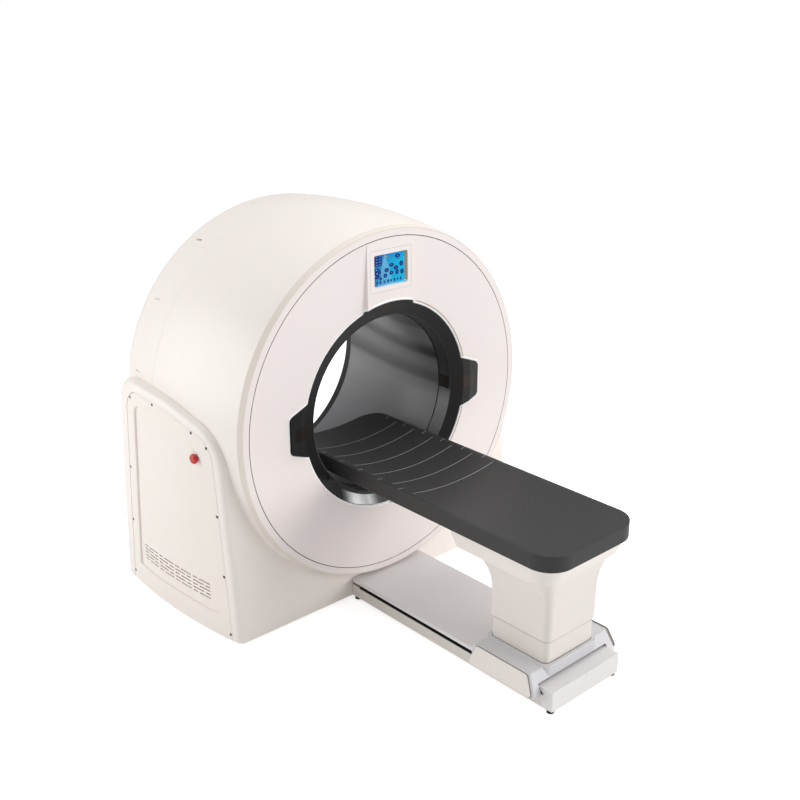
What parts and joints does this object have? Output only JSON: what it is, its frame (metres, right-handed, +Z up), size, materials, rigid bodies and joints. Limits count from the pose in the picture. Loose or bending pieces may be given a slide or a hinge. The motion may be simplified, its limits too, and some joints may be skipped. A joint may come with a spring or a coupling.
{
  "type": "ct scanner",
  "caption": "Ring-shaped scanner gantry on a floor base, with a dished patient table on a lifting column that travels along a floor rail into the bore.",
  "frame": {"origin": "on the floor under the middle of the whole machine", "axes": "+Z up, +Y from the table towards the gantry along the bore axis, +X to the right seen from the table"},
  "size_m": [1.5246, 1.842, 1.5179],
  "materials": {
    "cover_cream": "satin cream moulded cover",
    "panel_cream": "satin cream panel",
    "trim_beige": "beige trim",
    "smoke_dark": "smoked dark moulding",
    "liner_grey": "polished dark grey liner",
    "polished_steel": "polished band",
    "window_brown": "tinted window",
    "screen": "lit display",
    "screw_dark": "dark screws",
    "stop_red": "red mushroom head",
    "stop_grey": "grey collar",
    "frame_steel": "painted steel frame",
    "cast_grey": "cast ring",
    "bearing_steel": "ground bearing ring",
    "rotor_alloy": "machined alloy",
    "unit_grey": "painted housing",
    "belt_black": "flat belt",
    "foot_black": "foot",
    "rail_alloy": "painted rail",
    "rail_grey": "light grey cover",
    "column_cream": "painted column",
    "tabletop_carbon": "charcoal composite",
    "pad_white": "glide pad"
  },
  "bodies": {
    "gantry": {"base_frame": "frame_steel", "bearing_carrier": "cast_grey", "bearing_outer": "bearing_steel", "brush_block": "unit_grey", "drive_motor": "unit_grey", "drive_belt": "belt_black", "power_unit": "unit_grey", "cooling_unit": "unit_grey", "gantry_feet": "foot_black", "front_shell": "cover_cream", "rear_shell": "cover_cream", "rear_cover": "cover_cream", "front_cover": "cover_cream", "front_rim": "cover_cream", "rim_trim": "trim_beige", "bore_front_ring": "smoke_dark", "bore_lower_trim": "polished_steel", "laser_windows": "window_brown", "bore_band": "smoke_dark", "bore_liner": "liner_grey", "rear_bore_ring": "smoke_dark", "display_bezel": "cover_cream", "display_screen": "screen", "side_panel_left": "panel_cream", "side_panel_right": "panel_cream", "panel_screws": "screw_dark", "stop_collar": "stop_grey", "rail_body": "rail_alloy", "rail_top_cover": "rail_grey", "guide_rails": "bearing_steel", "end_block": "rail_grey", "rail_feet": "foot_black"},
    "rotor": {"rotor_frame": "rotor_alloy", "bearing_inner": "bearing_steel", "slip_ring": "rotor_alloy", "xray_tube": "unit_grey", "collimator": "unit_grey", "detector_arc": "rotor_alloy", "high_voltage_tank": "unit_grey", "counterweight": "cast_grey"},
    "motor_pulley": {"motor_pulley": "bearing_steel"},
    "carriage": {"carriage_saddle": "column_cream", "saddle_side_plates": "column_cream", "guide_blocks": "bearing_steel", "lower_column": "column_cream", "glide_pads": "pad_white", "lift_actuator": "unit_grey"},
    "lift": {"lift_rod": "bearing_steel", "column_sleeve": "column_cream", "sleeve_screws": "screw_dark", "table_tray": "cover_cream", "tabletop": "tabletop_carbon"},
    "stop_head": {"stop_head": "stop_red"}
  },
  "joints": [
    {"name": "rotor_spin", "type": "hinge", "parent": "gantry", "child": "rotor", "pos_m": [0, 0.426, 0.785], "axis": [0, 1, 0], "continuous": true},
    {"name": "motor_spin", "type": "hinge", "parent": "gantry", "child": "motor_pulley", "pos_m": [0.56, 0.546, 0.185], "axis": [0, 1, 0], "continuous": true},
    {"name": "table_travel", "type": "slide", "parent": "gantry", "child": "carriage", "axis": [0, 1, 0], "range_m": [0, 0.45]},
    {"name": "column_lift", "type": "slide", "parent": "carriage", "child": "lift", "axis": [0, 0, 1], "range_m": [-0.015, 0.14]},
    {"name": "stop_press", "type": "slide", "parent": "gantry", "child": "stop_head", "axis": [0.9933, 0.1158, 0], "range_m": [0, 0.006], "stiffness_N_per_m": 2000}
  ],
  "couplings": [
    {"joint": "motor_spin", "follows": "rotor_spin", "ratio": 12}
  ]
}
